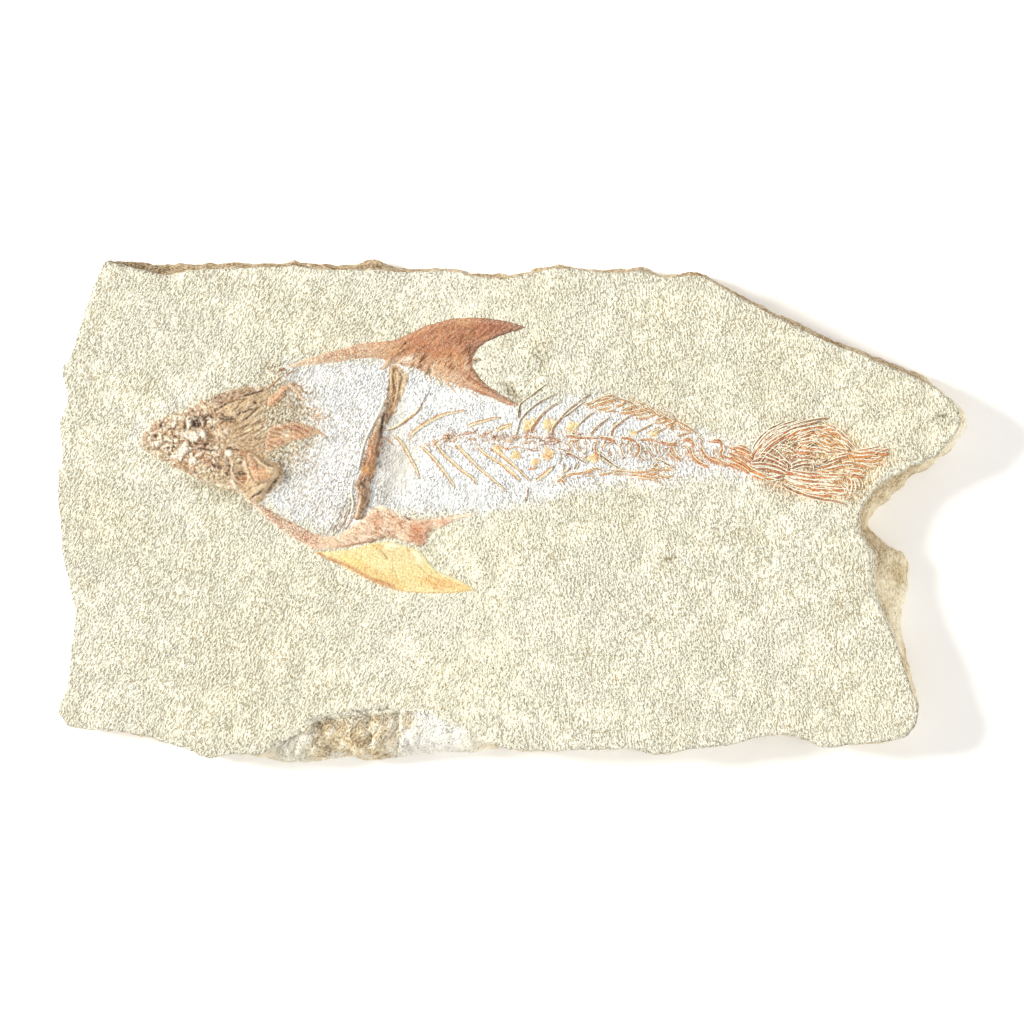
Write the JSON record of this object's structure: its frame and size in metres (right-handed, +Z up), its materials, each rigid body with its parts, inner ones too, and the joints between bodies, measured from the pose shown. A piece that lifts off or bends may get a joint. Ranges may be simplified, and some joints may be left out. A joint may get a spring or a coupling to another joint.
{
  "type": "fossil fish slab",
  "caption": "Flat broken limestone slab lying on its underside, with the crushed skull, fins, ribs, backbone and fanned tail of a small fish standing in low relief on its prepared face.",
  "frame": {"origin": "under the middle of the slab's length and width, on its underside", "axes": "+X along the length from the snout end to the tail end, +Y across to the fish's back edge, +Z up out of the prepared face"},
  "size_m": [0.25, 0.139, 0.0187],
  "materials": {
    "limestone": "matt cream limestone, pecked all over by fine preparation strokes, tan and stained on its broken sides",
    "bone_brown": "dark brown mineralised bone, satin, crushed and fractured",
    "bone_rust": "red-brown granular mineralised bone, satin",
    "bone_ochre": "ochre mineralised bone, satin",
    "bone_pale": "pale yellow-tan fin membrane and rays, matt"
  },
  "bodies": {
    "root": {"anal_fin": "bone_pale", "backbone": "bone_rust", "brow_bone": "bone_ochre", "dorsal_fin": "bone_pale", "gill_plate": "bone_rust", "haemal_spine_1": "bone_ochre", "haemal_spine_2": "bone_ochre", "jaw_bone": "bone_ochre", "lower_pectoral_fin": "bone_brown", "neural_spine_1": "bone_ochre", "neural_spine_2": "bone_ochre", "neural_spine_3": "bone_ochre", "neural_spine_4": "bone_ochre", "neural_spine_5": "bone_ochre", "neural_spine_6": "bone_ochre", "neural_spine_7": "bone_ochre", "neural_spine_8": "bone_ochre", "neural_spine_9": "bone_ochre", "pelvic_fin": "bone_pale", "rib_lower_1": "bone_ochre", "rib_lower_2": "bone_ochre", "rib_lower_3": "bone_ochre", "rib_lower_4": "bone_ochre", "rib_lower_5": "bone_ochre", "rib_lower_6": "bone_ochre", "rib_lower_7": "bone_ochre", "rib_upper_1": "bone_ochre", "rib_upper_2": "bone_ochre", "rib_upper_3": "bone_ochre", "rib_upper_4": "bone_ochre", "shoulder_bone": "bone_brown", "skull": "bone_brown", "slab": "limestone", "tail_base": "bone_rust", "tail_fin": "bone_rust", "upper_pectoral_fin": "bone_rust", "vertebra_1": "bone_rust", "vertebra_2": "bone_rust", "vertebra_3": "bone_rust", "vertebra_4": "bone_rust", "vertebra_5": "bone_rust", "vertebra_6": "bone_rust", "vertebra_7": "bone_rust", "vertebra_8": "bone_rust"}
  },
  "joints": []
}
